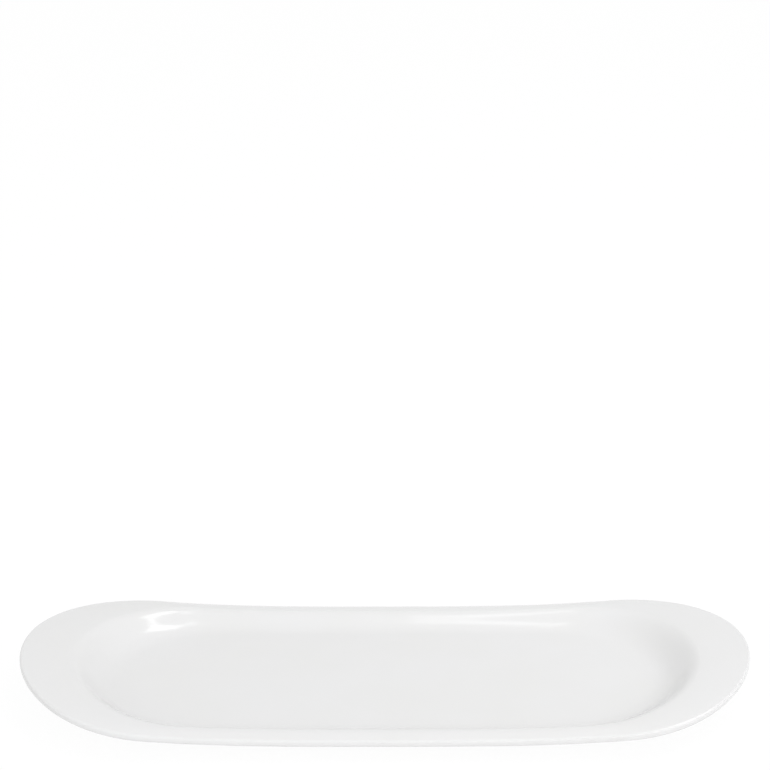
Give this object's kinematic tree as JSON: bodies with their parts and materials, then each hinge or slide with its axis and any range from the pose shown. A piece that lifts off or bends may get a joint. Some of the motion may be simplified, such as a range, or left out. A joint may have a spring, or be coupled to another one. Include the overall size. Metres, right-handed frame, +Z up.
{
  "type": "asparagus plate",
  "caption": "Long oval serving plate with straight sides, a shallow well for asparagus and wide upswept rims at both ends, glazed all over except its foot ring.",
  "frame": {"origin": "on the table, under the middle of the plate", "axes": "+X along the plate to its right end, +Y across it away from the viewer, +Z up"},
  "size_m": [0.38, 0.15, 0.0256],
  "materials": {
    "fired_clay": "matt, unglazed",
    "glaze": "gloss"
  },
  "bodies": {
    "root": {"porcelain_body": "fired_clay", "glaze_coat": "glaze", "base_glaze": "glaze"}
  },
  "joints": []
}
